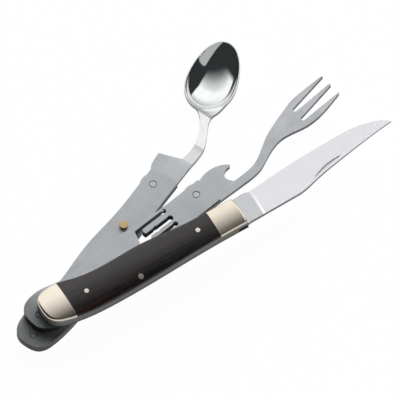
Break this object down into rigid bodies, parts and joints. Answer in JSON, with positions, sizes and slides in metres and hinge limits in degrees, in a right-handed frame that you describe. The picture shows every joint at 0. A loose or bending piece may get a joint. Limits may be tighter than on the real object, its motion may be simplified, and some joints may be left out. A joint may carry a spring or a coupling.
{
  "type": "folding picnic cutlery",
  "caption": "Folding knife, fork with bottle opener and spoon, each in its own steel handle; the handles stack and lock by studs and keyholes. Fanned out, tools open.",
  "frame": {"origin": "middle of the bounding box on the plane that the spoon's bowl stands on", "axes": "+X along the fork from its handle to its tines, +Y from the fork towards the spoon, +Z from the spoon's handle up to the knife's"},
  "size_m": [0.2, 0.091, 0.0251],
  "materials": {
    "steel_satin": "satin",
    "steel_ground": "ground edge",
    "steel_pin": "ground flush",
    "steel_blade": "fine satin grind",
    "steel_polished": "mirror polish in the bowl, satin on the tang",
    "nickel_silver": "polished nickel silver",
    "brass_stud": "turned",
    "dark_wood": "oiled, fine grain lengthwise"
  },
  "bodies": {
    "spoon_handle": {"spoon_back_liner": "steel_satin", "spoon_front_liner": "steel_satin", "spoon_spring": "steel_ground", "spoon_pivot_pin": "steel_pin", "spoon_butt_pin": "steel_pin", "spoon_spring_pin": "steel_pin", "spoon_stud": "brass_stud"},
    "spoon_tool": {"spoon": "steel_polished"},
    "fork_handle": {"fork_back_liner": "steel_satin", "fork_front_liner": "steel_satin", "fork_spring": "steel_ground", "fork_pivot_pin": "steel_pin", "fork_butt_pin": "steel_pin", "fork_spring_pin": "steel_pin"},
    "fork_tool": {"fork": "steel_satin"},
    "knife_handle": {"knife_back_liner": "steel_satin", "knife_front_liner": "steel_satin", "knife_spring": "steel_ground", "knife_pivot_pin": "steel_pin", "knife_butt_pin": "steel_pin", "knife_spring_pin": "steel_pin", "knife_stud": "brass_stud", "knife_wood_scale": "dark_wood", "knife_front_bolster": "nickel_silver", "knife_rear_bolster": "nickel_silver", "knife_scale_pins": "steel_pin"},
    "blade": {"knife_blade": "steel_blade"}
  },
  "joints": [
    {"name": "spoon_fold", "type": "hinge", "parent": "spoon_handle", "child": "spoon_tool", "pos_m": [-0.00216, 0.00581, 0.0092], "axis": [0, 0, 1], "range_deg": [0, 172]},
    {"name": "fork_fold", "type": "hinge", "parent": "fork_handle", "child": "fork_tool", "pos_m": [0.00784, -0.01333, 0.0146], "axis": [0, 0, 1], "range_deg": [0, 175]},
    {"name": "blade_fold", "type": "hinge", "parent": "knife_handle", "child": "blade", "pos_m": [0.01149, -0.03243, 0.02], "axis": [0, 0, 1], "range_deg": [0, 176.5]},
    {"name": "fork_lift", "type": "slide", "parent": "spoon_handle", "child": "fork_handle", "axis": [0, 0, 1], "range_m": [0, 0.03]},
    {"name": "knife_lift", "type": "slide", "parent": "fork_handle", "child": "knife_handle", "axis": [0, 0, 1], "range_m": [0, 0.03]}
  ]
}
